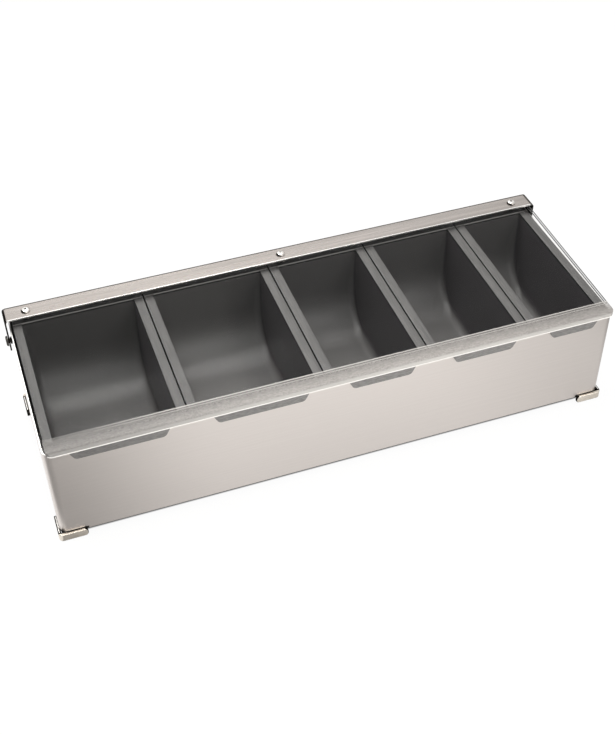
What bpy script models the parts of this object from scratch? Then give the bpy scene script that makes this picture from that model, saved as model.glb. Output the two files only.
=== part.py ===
# Condiment station: a steel tray with five lift-out bins under a clear hinged lid.
# Lengths are in metres. X runs along the tray, Y towards its rear, Z up.
# Pieces are placed in the tray's own frame: x = 0 at its middle, y = 0 at its front face,
# z = 0 at its underside. The empty "station" then stands the whole on its feet, centred.

import math

import bmesh
import bpy
from mathutils import Matrix, Vector

# Tray
TRAY_DEPTH = 0.1605
TRAY_HEIGHT = 0.0868
TRAY_WALL = 0.0010
TRAY_FRONT_CORNER_RADIUS = 0.0065
TRAY_REAR_CORNER_RADIUS = 0.0025
TRAY_BEND_RADIUS = 0.0022

# Feet
FOOT_ARM = 0.0222
FOOT_THICKNESS = 0.0012
FOOT_DROP = 0.0042
FOOT_RISE = 0.0027
FOOT_BEND_RADIUS = 0.0030
FOOT_END_RADIUS = 0.0024

# Bins
LARGE_BIN_WIDTH = 0.1072
MEDIUM_BIN_WIDTH = 0.0852
SMALL_BIN_WIDTH = 0.0695
BIN_END_MARGIN = 0.0018
BIN_GAP = 0.0010
BIN_FLANGE_SIDE = 0.0074
BIN_FLANGE_FRONT = 0.0100
BIN_FLANGE_REAR = 0.0118
BIN_FLANGE_THICKNESS = 0.0018
BIN_FLANGE_CORNER_RADIUS = 0.0015
BIN_WALL = 0.0020
BIN_INNER_DEPTH = 0.0738
BIN_SCOOP_RADIUS = 0.0385
BIN_FRONT_RADIUS = 0.0100
BIN_SIDE_RADIUS = 0.0080
BIN_TOP_CORNER_RADIUS = 0.0022
BIN_LOW_CORNER_RADIUS = 0.0070
BIN_SIDE_DRAFT = 0.0015
LARGE_TAB_INSET = 0.0156
MEDIUM_TAB_INSET = 0.0146
SMALL_TAB_INSET = 0.0127
TAB_DROP = 0.0101
TAB_THICKNESS = 0.0013
TAB_SLANT = 0.0038
TAB_CORNER_RADIUS = 0.0026

# Lid
LID_THICKNESS = 0.0025
LID_SLOPE_RISE = 0.0030
LID_SIDE_INSET = 0.0012
LIP_THICKNESS = 0.0017
LIP_DROP = 0.0039
LIP_BEND_RADIUS = 0.0026
LID_FRONT_CORNER_RADIUS = 0.0040
LID_REAR_CORNER_RADIUS = 0.0030

# Hinge bar and its ears
BAR_WIDTH = 0.0164
BAR_THICKNESS = 0.0012
BAR_REAR_OVERHANG = 0.0025
BAR_BEND_RADIUS = 0.0030
EAR_GAP = 0.0018
EAR_DROP = 0.0266

# Pins, spacers, rivets and washers
PIN_RADIUS = 0.0020
PIN_HEAD_RADIUS = 0.0043
PIN_HEAD_THICKNESS = 0.0018
PIN_PEEN_RADIUS = 0.0030
PIN_PEEN_THICKNESS = 0.0008
SPACER_RADIUS = 0.0030
RIVET_FROM_BAR_END = 0.0183
RIVET_RADIUS = 0.0020
RIVET_HEAD_RADIUS = 0.0038
RIVET_HEAD_HEIGHT = 0.0018
RIVET_DIMPLE_RADIUS = 0.0011
RIVET_DIMPLE_DEPTH = 0.0007
RIVET_TAIL_RADIUS = 0.0032
RIVET_TAIL_THICKNESS = 0.0007
WASHER_RADIUS = 0.0050
WASHER_THICKNESS = 0.0007

# Clearances
SEAT_GAP = 0.0003
THIN_SEAT_GAP = 0.00025
PIN_CLEARANCE = 0.00008
TAB_LIP_CLEARANCE = 0.0004

# Worked out from the values above
BINS = (
    (LARGE_BIN_WIDTH, LARGE_TAB_INSET),
    (LARGE_BIN_WIDTH, LARGE_TAB_INSET),
    (MEDIUM_BIN_WIDTH, MEDIUM_TAB_INSET),
    (MEDIUM_BIN_WIDTH, MEDIUM_TAB_INSET),
    (SMALL_BIN_WIDTH, SMALL_TAB_INSET),
)
BINS_LENGTH = sum(width for width, inset in BINS)
TRAY_LENGTH = BINS_LENGTH + 2 * BIN_END_MARGIN
FLANGE_UNDERSIDE = TRAY_HEIGHT + SEAT_GAP
FLANGE_TOP = FLANGE_UNDERSIDE + BIN_FLANGE_THICKNESS
BIN_FLOOR = FLANGE_TOP - BIN_INNER_DEPTH
BIN_SCOOP_TOP = BIN_FLOOR + BIN_SCOOP_RADIUS
BIN_FRONT = BIN_FLANGE_FRONT
BIN_REAR = TRAY_DEPTH - BIN_FLANGE_REAR
TAB_FACE = -SEAT_GAP - TAB_THICKNESS
LID_FRONT_TOP = FLANGE_TOP + SEAT_GAP + LID_THICKNESS
LID_TOP = LID_FRONT_TOP + LID_SLOPE_RISE
LID_UNDERSIDE = LID_TOP - LID_THICKNESS
LIP_INNER_FACE = TAB_FACE - TAB_LIP_CLEARANCE
LID_FRONT = LIP_INNER_FACE - LIP_THICKNESS
LIP_BOTTOM = LID_FRONT_TOP - LIP_DROP
LID_HALF = TRAY_LENGTH / 2 - LID_SIDE_INSET
BAR_UNDERSIDE = LID_TOP + SEAT_GAP
BAR_TOP = BAR_UNDERSIDE + BAR_THICKNESS
BAR_REAR = TRAY_DEPTH + BAR_REAR_OVERHANG
BAR_MIDDLE = BAR_REAR - BAR_WIDTH / 2
LID_REAR = BAR_REAR - SEAT_GAP
LID_SLOPE_END = BAR_REAR - BAR_WIDTH - SEAT_GAP
EAR_OUTER = TRAY_LENGTH / 2 + EAR_GAP + BAR_THICKNESS
EAR_INNER = TRAY_LENGTH / 2 + EAR_GAP
RIVET_PITCH = EAR_OUTER - RIVET_FROM_BAR_END
PIN_HEIGHT = BAR_TOP - EAR_DROP
PIN_HOLE_RADIUS = PIN_RADIUS + PIN_CLEARANCE
RIVET_HOLE_RADIUS = RIVET_RADIUS + PIN_CLEARANCE
STATION_MIDDLE = (LID_FRONT + BAR_REAR) / 2

FULL_TURN = 2 * math.pi
ROUND_SEGMENTS = 24


def clear_scene():
    for item in list(bpy.data.objects):
        bpy.data.objects.remove(item, do_unlink=True)
    for mesh in list(bpy.data.meshes):
        bpy.data.meshes.remove(mesh)


def make_collection(name):
    collection = bpy.data.collections.new(name)
    bpy.context.scene.collection.children.link(collection)
    return collection


def make_material(name, colour, roughness, metallic, alpha=1.0):
    material = bpy.data.materials.new(name)
    material.use_nodes = True
    shader = material.node_tree.nodes["Principled BSDF"]
    shader.inputs["Base Color"].default_value = (*colour, 1.0)
    shader.inputs["Roughness"].default_value = roughness
    shader.inputs["Metallic"].default_value = metallic
    shader.inputs["Alpha"].default_value = alpha
    material.diffuse_color = (*colour, alpha)
    return material


def add_object(name, bm, material, location=(0, 0, 0)):
    """A named sub-part from a bmesh, under the station's empty."""
    bmesh.ops.recalc_face_normals(bm, faces=bm.faces)
    mesh = bpy.data.meshes.new(name)
    bm.to_mesh(mesh)
    bm.free()
    mesh.materials.append(material)
    item = bpy.data.objects.new(name, mesh)
    item.location = location
    item.parent = station
    part_collection.objects.link(item)
    return item


def add_cutter(name, bm, location=(0, 0, 0)):
    """A helper body for a Boolean, left out of the render."""
    bmesh.ops.recalc_face_normals(bm, faces=bm.faces)
    mesh = bpy.data.meshes.new(name)
    bm.to_mesh(mesh)
    bm.free()
    item = bpy.data.objects.new(name, mesh)
    item.location = location
    item.parent = station
    item.hide_render = True
    item.display_type = "WIRE"
    cutter_collection.objects.link(item)
    return item


def combine(item, other, operation):
    modifier = item.modifiers.new(f"{operation.title()} {other.name}", "BOOLEAN")
    modifier.object = other
    modifier.operation = operation
    modifier.solver = "EXACT"


def shade_round(item, angle=35):
    item.data.shade_smooth()
    item.data.set_sharp_from_angle(angle=math.radians(angle))


def block(low, high):
    """A box between two corners."""
    bm = bmesh.new()
    bmesh.ops.create_cube(bm, size=1.0)
    low, high = Vector(low), Vector(high)
    bmesh.ops.scale(bm, vec=high - low, verts=bm.verts)
    bmesh.ops.translate(bm, vec=(low + high) / 2, verts=bm.verts)
    return bm


def round_edges(bm, edges, radius, segments):
    bmesh.ops.bevel(
        bm, geom=edges, offset=radius, segments=segments, profile=0.5, affect="EDGES", material=-1
    )


def upright_edges(bm):
    return [e for e in bm.edges if abs((e.verts[0].co - e.verts[1].co).normalized().z) > 0.99]


def rod(radius, start, end, axis):
    """A round cutter along X or Z, between two places on that axis."""
    bm = bmesh.new()
    bmesh.ops.create_cone(
        bm, cap_ends=True, segments=ROUND_SEGMENTS, radius1=radius, radius2=radius, depth=end - start
    )
    middle = (start + end) / 2
    if axis == "X":
        bmesh.ops.rotate(bm, verts=bm.verts, matrix=Matrix.Rotation(math.pi / 2, 3, "Y"))
        bmesh.ops.translate(bm, vec=(middle, 0, 0), verts=bm.verts)
    else:
        bmesh.ops.translate(bm, vec=(0, 0, middle), verts=bm.verts)
    return bm


def corner_arc(centre, radius, start, end, steps):
    arc = []
    for step in range(steps + 1):
        angle = math.radians(start + (end - start) * step / steps)
        arc.append((centre[0] + radius * math.cos(angle), centre[1] + radius * math.sin(angle)))
    return arc


def prism(outline, low, high, axis):
    """A flat outline pushed from low to high along X or Z."""
    bm = bmesh.new()
    if axis == "X":
        face = bm.faces.new([bm.verts.new((low, y, z)) for y, z in outline])
        travel = (high - low, 0, 0)
    else:
        face = bm.faces.new([bm.verts.new((x, y, low)) for x, y in outline])
        travel = (0, 0, high - low)
    pushed = bmesh.ops.extrude_face_region(bm, geom=[face])["geom"]
    moved = [g for g in pushed if isinstance(g, bmesh.types.BMVert)]
    bmesh.ops.translate(bm, vec=travel, verts=moved)
    return bm


def round_tips(bm, chosen, radius, segments):
    tips = [v for v in bm.verts if chosen(v.co)]
    bmesh.ops.bevel(
        bm, geom=tips, offset=radius, segments=segments, profile=0.5, affect="VERTICES", material=-1
    )


def turned(name, profile, material, location, turn=None):
    """A turned piece: (radius, height) points from the top down its outer side, spun round Z."""
    bm = bmesh.new()
    points = [bm.verts.new((radius, 0, height)) for radius, height in profile]
    for first, second in zip(points, points[1:]):
        bm.edges.new((first, second))
    item = add_object(name, bm, material, location)
    screw = item.modifiers.new("Turn", "SCREW")
    screw.angle = FULL_TURN
    screw.steps = ROUND_SEGMENTS
    screw.render_steps = ROUND_SEGMENTS
    screw.use_merge_vertices = True
    screw.merge_threshold = 0.00001
    if turn is not None:
        item.rotation_euler = turn
    return item


def make_tray():
    half = TRAY_LENGTH / 2
    bm = block((-half, 0, 0), (half, TRAY_DEPTH, TRAY_HEIGHT))
    front_edges = [e for e in upright_edges(bm) if e.verts[0].co.y < TRAY_DEPTH / 2]
    round_edges(bm, front_edges, TRAY_FRONT_CORNER_RADIUS, 5)
    rear_edges = [e for e in upright_edges(bm) if min(v.co.y for v in e.verts) > TRAY_DEPTH - TRAY_WALL]
    round_edges(bm, rear_edges, TRAY_REAR_CORNER_RADIUS, 3)
    floor_edges = [e for e in bm.edges if max(v.co.z for v in e.verts) < TRAY_WALL]
    round_edges(bm, floor_edges, TRAY_BEND_RADIUS, 3)
    top = [f for f in bm.faces if min(v.co.z for v in f.verts) > TRAY_HEIGHT - TRAY_WALL]
    bmesh.ops.delete(bm, geom=top, context="FACES_ONLY")
    tray = add_object("tray_body", bm, steel)
    shell = tray.modifiers.new("Sheet", "SOLIDIFY")
    shell.thickness = TRAY_WALL
    shell.offset = -1
    shell.use_even_offset = True
    for side in (-1, 1):
        start = side * half - 3 * TRAY_WALL
        hole = add_cutter(
            f"cut_tray_pin_{side}",
            rod(PIN_HOLE_RADIUS, start, start + 6 * TRAY_WALL, "X"),
            (0, BAR_MIDDLE, PIN_HEIGHT),
        )
        combine(tray, hole, "DIFFERENCE")
    shade_round(tray)


def make_foot(name, side, end):
    """An L of flat strip standing on edge round a lower corner of the tray."""
    bm = bmesh.new()
    reach = SEAT_GAP + FOOT_THICKNESS
    path = [(-FOOT_ARM + reach, reach), (reach, reach), (reach, -FOOT_ARM + reach)]
    low = [bm.verts.new((x, y, -FOOT_DROP)) for x, y in path]
    high = [bm.verts.new((x, y, FOOT_RISE)) for x, y in path]
    bm.faces.new((low[0], low[1], high[1], high[0]))
    bm.faces.new((low[1], low[2], high[2], high[1]))
    corner = [e for e in bm.edges if low[1] in e.verts and high[1] in e.verts]
    round_edges(bm, corner, FOOT_BEND_RADIUS, 4)
    bm.verts.ensure_lookup_table()
    edge = -FOOT_ARM + reach + FOOT_THICKNESS
    tips = [v for v in bm.verts if min(v.co.x, v.co.y) < edge]
    bmesh.ops.bevel(
        bm, geom=tips, offset=FOOT_END_RADIUS, segments=4, profile=0.5, affect="VERTICES", material=-1
    )
    bmesh.ops.scale(bm, vec=(side, end, 1), verts=bm.verts)
    corner_y = TRAY_DEPTH if end > 0 else 0
    foot = add_object(name, bm, bright_steel, (side * TRAY_LENGTH / 2, corner_y, 0))
    if (side * end) < 0:
        foot.data.flip_normals()
    strip = foot.modifiers.new("Strip", "SOLIDIFY")
    strip.thickness = FOOT_THICKNESS
    strip.offset = -1 if foot_faces_out(foot, side, end) else 1
    strip.use_even_offset = True
    shade_round(foot)


def foot_faces_out(foot, side, end):
    outward = Vector((side, end, 0))
    return sum(f.normal.dot(outward) * f.area for f in foot.data.polygons) > 0


def bin_outline(half, offset, height):
    """The bin's rounded plan outline at one height, pushed out by offset, as a closed ring of points."""
    depth = FLANGE_TOP - height
    rear_low = max(0.0, BIN_SCOOP_TOP - height)
    rear_arm = BIN_SCOOP_RADIUS + offset
    rear = BIN_REAR - BIN_SCOOP_RADIUS + math.sqrt(max(rear_arm**2 - rear_low**2, 0))
    front_low = max(0.0, BIN_FLOOR + BIN_FRONT_RADIUS - height)
    front_arm = BIN_FRONT_RADIUS + offset
    front = BIN_FRONT + BIN_FRONT_RADIUS - math.sqrt(max(front_arm**2 - front_low**2, 0))
    side_low = max(0.0, BIN_FLOOR + BIN_SIDE_RADIUS - height)
    side_arm = BIN_SIDE_RADIUS + offset
    draft = BIN_SIDE_DRAFT * max(depth, 0.0) / BIN_INNER_DEPTH
    wide = half - draft - BIN_SIDE_RADIUS + math.sqrt(max(side_arm**2 - side_low**2, 0))
    share = min(max(depth / (BIN_INNER_DEPTH - BIN_SCOOP_RADIUS), 0.0), 1.0)
    radius = BIN_TOP_CORNER_RADIUS + share * (BIN_LOW_CORNER_RADIUS - BIN_TOP_CORNER_RADIUS) + offset
    corners = (
        (wide - radius, rear - radius, 0),
        (-wide + radius, rear - radius, 90),
        (-wide + radius, front + radius, 180),
        (wide - radius, front + radius, 270),
    )
    ring = []
    for x, y, start in corners:
        for step in range(CORNER_STEPS + 1):
            angle = math.radians(start + 90 * step / CORNER_STEPS)
            ring.append((x + radius * math.cos(angle), y + radius * math.sin(angle), height))
    return ring


CORNER_STEPS = 3
SCOOP_STEPS = 9


def bin_body(half, offset, top):
    """A closed loft through the bin's plan outlines, from top down the scoop to the floor."""
    heights = [top]
    for step in range(SCOOP_STEPS + 1):
        angle = math.radians(90 * step / SCOOP_STEPS)
        heights.append(BIN_SCOOP_TOP - (BIN_SCOOP_RADIUS + offset) * math.sin(angle))
    bm = bmesh.new()
    rings = []
    for height in heights:
        rings.append([bm.verts.new(point) for point in bin_outline(half, offset, height)])
    for upper, lower in zip(rings, rings[1:]):
        for i, corner in enumerate(upper):
            following = (i + 1) % len(upper)
            bm.faces.new((corner, upper[following], lower[following], lower[i]))
    bm.faces.new(rings[0])
    bm.faces.new(rings[-1])
    return bm


def bin_tab_strip(wide):
    """A strip that runs from the front flange out over the tray's rim and down in front of it."""
    inside = BIN_FLANGE_FRONT / 2
    low = FLANGE_TOP - TAB_DROP - TAB_THICKNESS
    bend = corner_arc((TAB_FACE + TAB_THICKNESS, FLANGE_TOP - TAB_THICKNESS), TAB_THICKNESS, 90, 180, 3)
    back = TAB_FACE + TAB_THICKNESS
    section = [
        (inside, FLANGE_TOP),
        *bend,
        (TAB_FACE, low),
        (back, low),
        (back, FLANGE_UNDERSIDE),
        (inside, FLANGE_UNDERSIDE),
    ]
    return prism(section, -wide - TAB_THICKNESS, wide + TAB_THICKNESS, "X")


def bin_tab_outline(wide):
    """The tab's front view, narrower at its foot, with rounded lower corners."""
    top = FLANGE_TOP + TAB_THICKNESS
    bend = FLANGE_TOP - TAB_THICKNESS
    low = FLANGE_TOP - TAB_DROP
    narrow = wide - TAB_SLANT
    outline = [(-wide, top), (-wide, bend), (-narrow, low), (narrow, low), (wide, bend), (wide, top)]
    bm = bmesh.new()
    bm.faces.new([bm.verts.new((x, TAB_FACE - TAB_THICKNESS, z)) for x, z in outline])
    round_tips(bm, lambda co: co.z < low + TAB_THICKNESS, TAB_CORNER_RADIUS, 3)
    pushed = bmesh.ops.extrude_face_region(bm, geom=list(bm.faces))["geom"]
    moved = [g for g in pushed if isinstance(g, bmesh.types.BMVert)]
    bmesh.ops.translate(bm, vec=(0, BIN_FLANGE_FRONT, 0), verts=moved)
    return bm


def make_bin(number, middle, width, tab_half):
    name = f"insert_{number}"
    half = width / 2 - BIN_GAP / 2 - BIN_FLANGE_SIDE
    outer = half + BIN_FLANGE_SIDE
    flange = block((-outer, SEAT_GAP, FLANGE_UNDERSIDE), (outer, TRAY_DEPTH - SEAT_GAP, FLANGE_TOP))
    round_edges(flange, upright_edges(flange), BIN_FLANGE_CORNER_RADIUS, 3)
    place = (middle, 0, 0)
    item = add_object(name, flange, bin_plastic, place)
    inside_flange = FLANGE_TOP - BIN_FLANGE_THICKNESS / 3
    body = add_cutter(f"add_{name}_body", bin_body(half, BIN_WALL, inside_flange), place)
    tab = add_cutter(f"add_{name}_tab", bin_tab_strip(tab_half), place)
    combine(tab, add_cutter(f"keep_{name}_tab", bin_tab_outline(tab_half), place), "INTERSECT")
    hollow = add_cutter(f"cut_{name}_hollow", bin_body(half, 0.0, FLANGE_TOP + BIN_WALL), place)
    combine(item, body, "UNION")
    combine(item, tab, "UNION")
    combine(item, hollow, "DIFFERENCE")
    shade_round(item)


def make_bins():
    left = -BINS_LENGTH / 2
    for number, (width, tab_inset) in enumerate(BINS, start=1):
        make_bin(number, left + width / 2, width, width / 2 - tab_inset)
        left += width


def rivet_places():
    return (("left", -RIVET_PITCH), ("middle", 0.0), ("right", RIVET_PITCH))


def cut_rivet_holes(item, low, high):
    for word, x in rivet_places():
        hole = add_cutter(
            f"cut_{item.name}_rivet_{word}", rod(RIVET_HOLE_RADIUS, low, high, "Z"), (x, BAR_MIDDLE, 0)
        )
        combine(item, hole, "DIFFERENCE")


def strip_surface(path, low, high, axis):
    """An open surface swept from low to high along an axis, through a path of points."""
    bm = bmesh.new()
    rows = []
    for end in (low, high):
        if axis == "X":
            rows.append([bm.verts.new((end, y, z)) for y, z in path])
        else:
            rows.append([bm.verts.new((x, end, z)) for x, z in path])
    for i in range(len(path) - 1):
        bm.faces.new((rows[0][i], rows[0][i + 1], rows[1][i + 1], rows[1][i]))
    return bm


def add_sheet(item, thickness, out):
    """Gives a surface its thickness on the side away from the direction out."""
    facing = sum(f.normal.dot(Vector(out)) * f.area for f in item.data.polygons)
    sheet = item.modifiers.new("Sheet", "SOLIDIFY")
    sheet.thickness = thickness
    sheet.offset = -1 if facing > 0 else 1
    sheet.use_even_offset = True


def lid_section():
    """The lid's side view: flat under the bar, sloping down to the front, with a lip turned down."""
    beyond = LID_REAR + LID_THICKNESS
    outer_bend = corner_arc(
        (LID_FRONT + LIP_BEND_RADIUS, LID_FRONT_TOP - LIP_BEND_RADIUS), LIP_BEND_RADIUS, 90, 180, 4
    )
    inner_front = LID_FRONT_TOP - LID_THICKNESS
    return [
        (beyond, LID_TOP),
        (LID_SLOPE_END, LID_TOP),
        *outer_bend,
        (LID_FRONT, LIP_BOTTOM),
        (LIP_INNER_FACE, LIP_BOTTOM),
        (LIP_INNER_FACE, inner_front - LIP_BEND_RADIUS / 4),
        (LIP_INNER_FACE + LIP_BEND_RADIUS / 4, inner_front),
        (LID_SLOPE_END, LID_UNDERSIDE),
        (beyond, LID_UNDERSIDE),
    ]


def lid_plan():
    """The lid's plan, which stands clear of its front face between the two rounded corners."""
    front, rear = LID_FRONT_CORNER_RADIUS, LID_REAR_CORNER_RADIUS
    ahead = LID_FRONT - LID_THICKNESS
    left_front = corner_arc((-LID_HALF + front, LID_FRONT + front), front, 180, 270, 5)
    right_front = corner_arc((LID_HALF - front, LID_FRONT + front), front, 270, 360, 5)
    right_rear = corner_arc((LID_HALF - rear, LID_REAR - rear), rear, 0, 90, 4)
    left_rear = corner_arc((-LID_HALF + rear, LID_REAR - rear), rear, 90, 180, 4)
    middle = [(-LID_HALF + front, ahead), (LID_HALF - front, ahead)]
    return [*left_front, *middle, *right_front, *right_rear, *left_rear]


def make_lid():
    side = LID_HALF + LID_THICKNESS
    lid = add_object("lid_panel", prism(lid_section(), -side, side, "X"), clear_plastic)
    low, high = LIP_BOTTOM - LID_THICKNESS, LID_TOP + LID_THICKNESS
    plan = add_cutter("keep_lid_plan", prism(lid_plan(), low, high, "Z"))
    combine(lid, plan, "INTERSECT")
    cut_rivet_holes(lid, LID_UNDERSIDE - LID_THICKNESS, LID_TOP + LID_THICKNESS)
    shade_round(lid)


def make_hinge_bar():
    low = PIN_HEIGHT - BAR_WIDTH / 2
    bend = corner_arc(
        (EAR_OUTER - BAR_BEND_RADIUS, BAR_TOP - BAR_BEND_RADIUS), BAR_BEND_RADIUS, 90, 0, 5
    )
    path = [(0, BAR_TOP), *bend, (EAR_OUTER, low)]
    bm = strip_surface(path, BAR_MIDDLE - BAR_WIDTH / 2, BAR_REAR, "Y")
    tiny = SEAT_GAP / 10
    round_tips(bm, lambda co: co.z < low + tiny, BAR_WIDTH / 2 - tiny, 7)
    bar = add_object("hinge_bar", bm, steel)
    mirror = bar.modifiers.new("Other half", "MIRROR")
    mirror.merge_threshold = 0.0001
    add_sheet(bar, BAR_THICKNESS, (0, 0, 1))
    for side in (-1, 1):
        start = side * (EAR_INNER + BAR_THICKNESS / 2) - EAR_GAP / 2
        hole = add_cutter(
            f"cut_ear_{side}",
            rod(PIN_HOLE_RADIUS, start, start + EAR_GAP, "X"),
            (0, BAR_MIDDLE, PIN_HEIGHT),
        )
        combine(bar, hole, "DIFFERENCE")
    cut_rivet_holes(bar, BAR_UNDERSIDE - BAR_THICKNESS, BAR_TOP + BAR_THICKNESS)
    shade_round(bar)


def make_rivets():
    """Each blind rivet has a domed head with a dimple, a shank and a flat set tail."""
    seat = BAR_TOP + THIN_SEAT_GAP
    washer_top = LID_UNDERSIDE - THIN_SEAT_GAP
    washer_low = washer_top - WASHER_THICKNESS
    tail_top = washer_low - THIN_SEAT_GAP
    tail_low = tail_top - RIVET_TAIL_THICKNESS
    dome = []
    for step in range(6):
        angle = math.radians(75 - 75 * step / 5)
        dome.append((RIVET_HEAD_RADIUS * math.cos(angle), seat + RIVET_HEAD_HEIGHT * math.sin(angle)))
    crown = seat + RIVET_HEAD_HEIGHT
    profile = [
        (0, crown - RIVET_DIMPLE_DEPTH),
        (RIVET_DIMPLE_RADIUS * 0.8, crown - RIVET_DIMPLE_DEPTH),
        *dome,
        (RIVET_RADIUS, seat),
        (RIVET_RADIUS, tail_top),
        (RIVET_TAIL_RADIUS, tail_top),
        (RIVET_TAIL_RADIUS, tail_low),
        (0, tail_low),
    ]
    ring = [
        (RIVET_HOLE_RADIUS, washer_top),
        (WASHER_RADIUS, washer_top),
        (WASHER_RADIUS, washer_low),
        (RIVET_HOLE_RADIUS, washer_low),
        (RIVET_HOLE_RADIUS, washer_top),
    ]
    for word, x in rivet_places():
        shade_round(turned(f"lid_rivet_{word}", profile, bright_steel, (x, BAR_MIDDLE, 0)))
        turned(f"rivet_washer_{word}", ring, bright_steel, (x, BAR_MIDDLE, 0))


def make_pins():
    """Each pin stands out of a side wall through its spacer and the ear, with a head outside."""
    wall = TRAY_LENGTH / 2
    head_low = EAR_OUTER + THIN_SEAT_GAP
    head_top = head_low + PIN_HEAD_THICKNESS
    peen_top = wall - TRAY_WALL - THIN_SEAT_GAP
    peen_low = peen_top - PIN_PEEN_THICKNESS
    soft_edge = PIN_HEAD_THICKNESS / 3
    pin = [
        (0, head_top),
        (PIN_HEAD_RADIUS - 2 * soft_edge, head_top),
        (PIN_HEAD_RADIUS - soft_edge / 2, head_top - soft_edge / 2),
        (PIN_HEAD_RADIUS, head_top - 2 * soft_edge),
        (PIN_HEAD_RADIUS, head_low),
        (PIN_RADIUS, head_low),
        (PIN_RADIUS, peen_top),
        (PIN_PEEN_RADIUS, peen_top),
        (PIN_PEEN_RADIUS, peen_low),
        (0, peen_low),
    ]
    outer = EAR_INNER - SEAT_GAP
    inner = wall + SEAT_GAP
    spacer = [
        (PIN_HOLE_RADIUS, outer),
        (SPACER_RADIUS, outer),
        (SPACER_RADIUS, inner),
        (PIN_HOLE_RADIUS, inner),
        (PIN_HOLE_RADIUS, outer),
    ]
    place = (0, BAR_MIDDLE, PIN_HEIGHT)
    for word, side in (("left", -1), ("right", 1)):
        turn = (0, side * math.pi / 2, 0)
        shade_round(turned(f"pivot_pin_{word}", pin, bright_steel, place, turn))
        turned(f"pin_spacer_{word}", spacer, dark_metal, place, turn)


def make_feet():
    for front, end in (("front", -1), ("rear", 1)):
        for hand, side in (("left", -1), ("right", 1)):
            make_foot(f"foot_{front}_{hand}", side, end)


clear_scene()
part_collection = make_collection("condiment_station")
cutter_collection = make_collection("cutters")
cutter_collection.hide_render = True
station = bpy.data.objects.new("station", None)
station.location = (0, -STATION_MIDDLE, FOOT_DROP)
part_collection.objects.link(station)

steel = make_material("brushed steel", (0.62, 0.60, 0.58), 0.38, 1.0)
bright_steel = make_material("bright steel", (0.72, 0.70, 0.67), 0.22, 1.0)
dark_metal = make_material("dark metal", (0.10, 0.10, 0.10), 0.45, 0.6)
bin_plastic = make_material("dark grey plastic", (0.06, 0.06, 0.06), 0.55, 0.0)
clear_plastic = make_material("clear plastic", (0.92, 0.93, 0.93), 0.08, 0.0, 0.25)

make_tray()
make_feet()
make_bins()
make_lid()
make_hinge_bar()
make_rivets()
make_pins()
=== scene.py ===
import math

import bmesh
import bpy
from mathutils import Matrix, Vector


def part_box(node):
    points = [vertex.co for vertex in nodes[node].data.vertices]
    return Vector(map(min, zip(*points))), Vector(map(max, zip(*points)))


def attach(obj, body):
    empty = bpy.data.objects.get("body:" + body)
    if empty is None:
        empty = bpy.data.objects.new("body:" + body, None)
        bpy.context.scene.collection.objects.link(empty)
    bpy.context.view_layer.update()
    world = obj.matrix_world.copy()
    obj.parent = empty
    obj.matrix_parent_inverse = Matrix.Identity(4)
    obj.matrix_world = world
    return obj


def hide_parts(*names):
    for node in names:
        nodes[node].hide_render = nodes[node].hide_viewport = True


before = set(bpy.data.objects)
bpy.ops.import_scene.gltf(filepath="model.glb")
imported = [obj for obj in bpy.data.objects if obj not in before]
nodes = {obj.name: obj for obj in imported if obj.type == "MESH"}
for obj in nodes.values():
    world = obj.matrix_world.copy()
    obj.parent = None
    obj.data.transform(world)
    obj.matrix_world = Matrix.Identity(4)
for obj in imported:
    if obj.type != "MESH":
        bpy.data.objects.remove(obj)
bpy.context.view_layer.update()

scene = bpy.context.scene
scene.view_settings.view_transform = "Standard"
mm = 0.001


# shader maths: a Wire is one output socket, and Python's operators on it add Math nodes

class Wire:
    def __init__(self, shading, socket):
        self.shading = shading
        self.socket = socket

    def math(self, operation, first, second=0.0, clamp=False):
        settings = {"operation": operation, "use_clamp": clamp}
        return self.shading.node("ShaderNodeMath", settings, {0: first, 1: second})

    def __add__(self, other):
        return self.math("ADD", self, other)

    def __radd__(self, other):
        return self.math("ADD", other, self)

    def __sub__(self, other):
        return self.math("SUBTRACT", self, other)

    def __rsub__(self, other):
        return self.math("SUBTRACT", other, self)

    def __mul__(self, other):
        return self.math("MULTIPLY", self, other)

    def __rmul__(self, other):
        return self.math("MULTIPLY", other, self)

    def size(self):
        return self.math("ABSOLUTE", self)

    def larger(self, other):
        return self.math("MAXIMUM", self, other)

    def ramp(self, start, end, low=0.0, high=1.0):  # runs smoothly from low to high between start and end
        settings = {"interpolation_type": "SMOOTHSTEP", "clamp": True}
        sockets = {"Value": self, "From Min": start, "From Max": end, "To Min": low, "To Max": high}
        return self.shading.node("ShaderNodeMapRange", settings, sockets)

    def fall(self, start, end):  # 1 before start, 0 after end
        return self.ramp(start, end, 1.0, 0.0)


class Shading:
    # a node tree, and the one method that makes its nodes
    def __init__(self, tree):
        self.tree = tree

    def node(self, kind, settings, sockets, output=0):
        made = self.tree.nodes.new(kind)
        for name, value in settings.items():
            setattr(made, name, value)
        for name, value in sockets.items():
            if isinstance(value, Wire):
                self.tree.links.new(value.socket, made.inputs[name])
            else:
                made.inputs[name].default_value = value
        return Wire(self, made.outputs[output]) if made.outputs else None

    def rays(self):
        kinds = ("Is Camera Ray", "Is Glossy Ray", "Is Transmission Ray")
        return [self.node("ShaderNodeLightPath", {}, {}, kind) for kind in kinds]


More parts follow.
